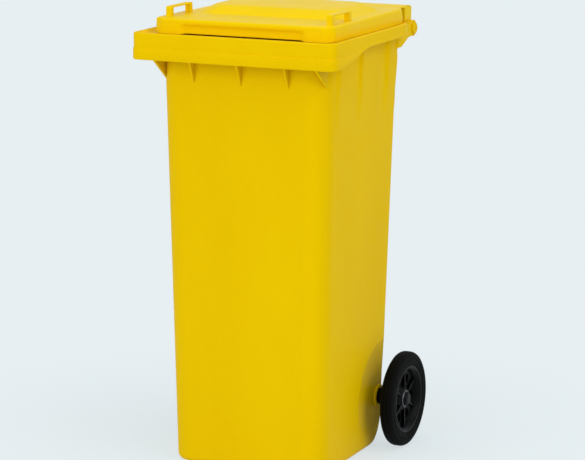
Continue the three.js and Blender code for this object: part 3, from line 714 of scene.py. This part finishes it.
def noise(nodes, links, scale, detail=3.0, roughness=0.5, stretch=None):
    """A noise texture in the object's own coordinates, in metres."""
    place = nodes.new("ShaderNodeTexCoord")
    grain = nodes.new("ShaderNodeTexNoise")
    grain.inputs["Scale"].default_value = scale
    grain.inputs["Detail"].default_value = detail
    grain.inputs["Roughness"].default_value = roughness
    source = place.outputs["Object"]
    if stretch:
        mapping = nodes.new("ShaderNodeMapping")
        mapping.inputs["Scale"].default_value = stretch
        links.new(source, mapping.inputs["Vector"])
        source = mapping.outputs["Vector"]
    links.new(source, grain.inputs["Vector"])
    return grain.outputs["Fac"]


def ramp(nodes, links, value, stops):
    """A colour ramp over value; stops are (position, colour)."""
    node = nodes.new("ShaderNodeValToRGB")
    band = node.color_ramp
    while len(band.elements) < len(stops):
        band.elements.new(0.5)
    for element, (position, colour) in zip(band.elements, stops):
        element.position = position
        element.color = (*colour, 1.0)
    links.new(value, node.inputs["Fac"])
    return node.outputs["Color"]


def linear(r, g, b):
    """Linear colour from 0-255 display values."""
    def one(c):
        c /= 255
        return c / 12.92 if c <= 0.04045 else ((c + 0.055) / 1.055) ** 2.4
    return one(r), one(g), one(b)


def product(nodes, links, a, b):
    """Two colours multiplied."""
    node = nodes.new("ShaderNodeMix")
    node.data_type, node.blend_type = "RGBA", "MULTIPLY"
    node.inputs["Factor"].default_value = 1.0
    for name, colour in (("A", a), ("B", b)):
        links.new(colour, next(s for s in node.inputs if s.name == name and s.type == "RGBA"))
    return next(s for s in node.outputs if s.type == "RGBA")


def moulded(name, tone, dark, roughness, shine, tint=(1, 1, 1), grain=900, depth=0.02):
    """Moulded plastic: faint flow marks, a fine grain and small changes of gloss."""
    material, nodes, links, shader = tree(name)
    flow = noise(nodes, links, 3.2, 5.0, 0.55, (1.0, 1.0, 0.35))
    colour = ramp(nodes, links, flow, [(0.32, dark), (0.68, tone)])
    speck = ramp(nodes, links, noise(nodes, links, 420, 2.0), [(0.30, (0.965,) * 3), (0.62, (1, 1, 1))])
    links.new(product(nodes, links, colour, speck), shader.inputs["Base Color"])
    gloss = ramp(nodes, links, noise(nodes, links, 26, 4.0, 0.6),
                 [(0.3, (roughness - 0.05,) * 3), (0.7, (roughness + 0.06,) * 3)])
    links.new(gloss, shader.inputs["Roughness"])
    bump = nodes.new("ShaderNodeBump")
    bump.inputs["Strength"].default_value = 0.25
    bump.inputs["Distance"].default_value = depth * MM
    links.new(noise(nodes, links, grain, 2.0, 0.6), bump.inputs["Height"])
    links.new(bump.outputs["Normal"], shader.inputs["Normal"])
    shader.inputs["IOR"].default_value = 1.5
    shader.inputs["Specular IOR Level"].default_value = shine
    shader.inputs["Specular Tint"].default_value = (*tint, 1.0)
    return material


def zinc():
    """Zinc-plated steel, drawn lengthwise."""
    material, nodes, links, shader = tree("zinc_steel")
    shader.inputs["Metallic"].default_value = 1.0
    tone = ramp(nodes, links, noise(nodes, links, 60, 5.0, 0.65, (0.2, 1, 1)),
                [(0.3, linear(168, 170, 172)), (0.7, linear(200, 202, 204))])
    links.new(tone, shader.inputs["Base Color"])
    gloss = ramp(nodes, links, noise(nodes, links, 180, 3.0), [(0.3, (0.28,) * 3), (0.7, (0.42,) * 3)])
    links.new(gloss, shader.inputs["Roughness"])
    return material


GILT = (1.0, 0.72, 0.06)
yellow = moulded("body_plastic", linear(242, 198, 2), linear(236, 190, 1), 0.46, 0.04, GILT)
yellow_lid = moulded("lid_plastic", linear(246, 208, 3), linear(241, 201, 2), 0.42, 0.09, GILT)
black = moulded("wheel_plastic", linear(6, 6, 5), linear(4, 4, 4), 0.42, 0.09, grain=1200)
rubber = moulded("tyre_rubber", linear(10, 10, 8), linear(5, 5, 4), 0.68, 0.06, grain=700, depth=0.05)


steel = zinc()

# ------------------------------------------------------------------ pieces

def piece(name, bm, material, body_name, node):
    """One visible piece: the body it rides on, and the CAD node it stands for."""
    obj = as_object(name, bm, material)
    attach(obj, body_name)
    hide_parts(node)


piece("bin_moulding", body(), yellow, "bin", "body")
piece("lid_moulding", merge(lid_shell(), *lid_parts()), yellow_lid, "lid", "lid")
piece("axle_bar", axle(), steel, "bin", "axle")
for side, word in ((1, "right"), (-1, "left")):
    piece(f"{word}_disc", wheel_disc(side), black, f"{word}_wheel", f"{word}_wheel_disc")
    piece(f"{word}_rubber", tyre(side), rubber, f"{word}_wheel", f"{word}_tyre")
    piece(f"{word}_spacer_sleeve", ring_piece(f"{word}_wheel_spacer", 18 * MM, 0.8 * MM, side), black,
          "bin", f"{word}_wheel_spacer")
    piece(f"{word}_hub_washer", ring_piece(f"{word}_wheel_washer", 17 * MM, 0.3 * MM, side), steel,
          "bin", f"{word}_wheel_washer")
    piece(f"{word}_cap", cap(side), black, "bin", f"{word}_axle_cap")
    piece(f"{word}_pin", hinge_pin(side), yellow, "bin", f"{word}_hinge_pin")

# ------------------------------------------------------------------ stage, light and camera

PAPER = (231, 239, 242)
AMBIENT = 0.62
FLOOR_HALF = 16.0
SHADOW_SHARE = 0.26
SHADOW_FADE = (0.2, 1.1)


def on_view(nodes, links):
    """1 on rays from the eye, straight or by way of a gloss or a clear piece, and 0 on light."""
    path = nodes.new("ShaderNodeLightPath")
    seen = path.outputs["Is Camera Ray"]
    for kind in ("Is Glossy Ray", "Is Transmission Ray"):
        either = nodes.new("ShaderNodeMath")
        either.operation = "MAXIMUM"
        links.new(seen, either.inputs[0])
        links.new(path.outputs[kind], either.inputs[1])
        seen = either.outputs[0]
    return seen


def backdrop():
    """A pale floor: plain paper colour to the camera, with the bin's soft shadow near it."""
    material, nodes, links, shader = tree("floor_paper")
    pale = linear(*PAPER)
    soft = ramp(nodes, links, noise(nodes, links, 1.3, 2.0), [(0.3, pale), (0.7, linear(230, 238, 241))])
    links.new(soft, shader.inputs["Base Color"])
    shader.inputs["Roughness"].default_value = 0.9
    plain = nodes.new("ShaderNodeEmission")
    plain.inputs["Color"].default_value = (*pale, 1.0)
    plain.inputs["Strength"].default_value = 1.0
    place = nodes.new("ShaderNodeTexCoord")
    reach = nodes.new("ShaderNodeVectorMath")
    reach.operation = "LENGTH"
    links.new(place.outputs["Object"], reach.inputs[0])
    fade = nodes.new("ShaderNodeMapRange")
    fade.interpolation_type = "SMOOTHSTEP"
    near, far = SHADOW_FADE
    for name, value in (("From Min", near), ("From Max", far), ("To Min", SHADOW_SHARE), ("To Max", 0.0)):
        fade.inputs[name].default_value = value
    links.new(reach.outputs["Value"], fade.inputs["Value"])
    share = nodes.new("ShaderNodeMix")
    share.data_type = "FLOAT"
    floats = [s for s in share.inputs if s.type == "VALUE"]
    links.new(on_view(nodes, links), floats[0])
    floats[1].default_value = 1.0
    links.new(fade.outputs["Result"], floats[2])
    both = nodes.new("ShaderNodeMixShader")
    links.new([s for s in share.outputs if s.type == "VALUE"][0], both.inputs["Fac"])
    links.new(plain.outputs[0], both.inputs[1])
    links.new(shader.outputs[0], both.inputs[2])
    links.new(both.outputs[0], nodes["Material Output"].inputs["Surface"])
    bm = bmesh.new()
    corners = ((-1, -1), (1, -1), (1, 1), (-1, 1))
    bm.faces.new([bm.verts.new((x * FLOOR_HALF, y * FLOOR_HALF, 0)) for x, y in corners])
    floor = as_object("floor", bm, material)


def studio():
    """Even pale light all round, and the plain paper colour behind the bin."""
    world = bpy.data.worlds.new("studio")
    bpy.context.scene.world = world
    world.use_nodes = True
    nodes, links = world.node_tree.nodes, world.node_tree.links
    strength = nodes.new("ShaderNodeMapRange")
    strength.inputs["To Min"].default_value = AMBIENT
    strength.inputs["To Max"].default_value = 1.0
    links.new(on_view(nodes, links), strength.inputs["Value"])
    backing = nodes["Background"]
    backing.inputs["Color"].default_value = (*linear(*PAPER), 1.0)
    links.new(strength.outputs["Result"], backing.inputs["Strength"])


def lamp(name, place, target, size, power):
    light = bpy.data.lights.new(name, "AREA")
    light.shape, light.size, light.energy = "SQUARE", size, power
    obj = bpy.data.objects.new(name, light)
    bpy.context.scene.collection.objects.link(obj)
    obj.location = place
    obj.rotation_euler = (Vector(target) - Vector(place)).to_track_quat("-Z", "Y").to_euler()


def view():
    """A long lens a little above and to the right of the front."""
    data = bpy.data.cameras.new("camera")
    camera = bpy.data.objects.new("camera", data)
    bpy.context.scene.collection.objects.link(camera)
    data.sensor_width = 36.0
    data.lens = 152.3
    data.clip_end = 60
    camera.location = (2.154, -4.541, 1.506)
    camera.rotation_euler = (math.radians(90 - 11.70), 0, math.radians(25.17))
    bpy.context.scene.camera = camera


backdrop()
studio()
middle = (0, 0, 0.5)
lamp("key", (-1.2, -3.35, 1.9), middle, 2.4, 48)
lamp("fill", (2.9, -0.9, 2.5), middle, 2.2, 38)
lamp("top", (0.2, 0.0, 3.4), middle, 2.4, 19)
view()
bpy.context.scene.view_settings.view_transform = "Standard"
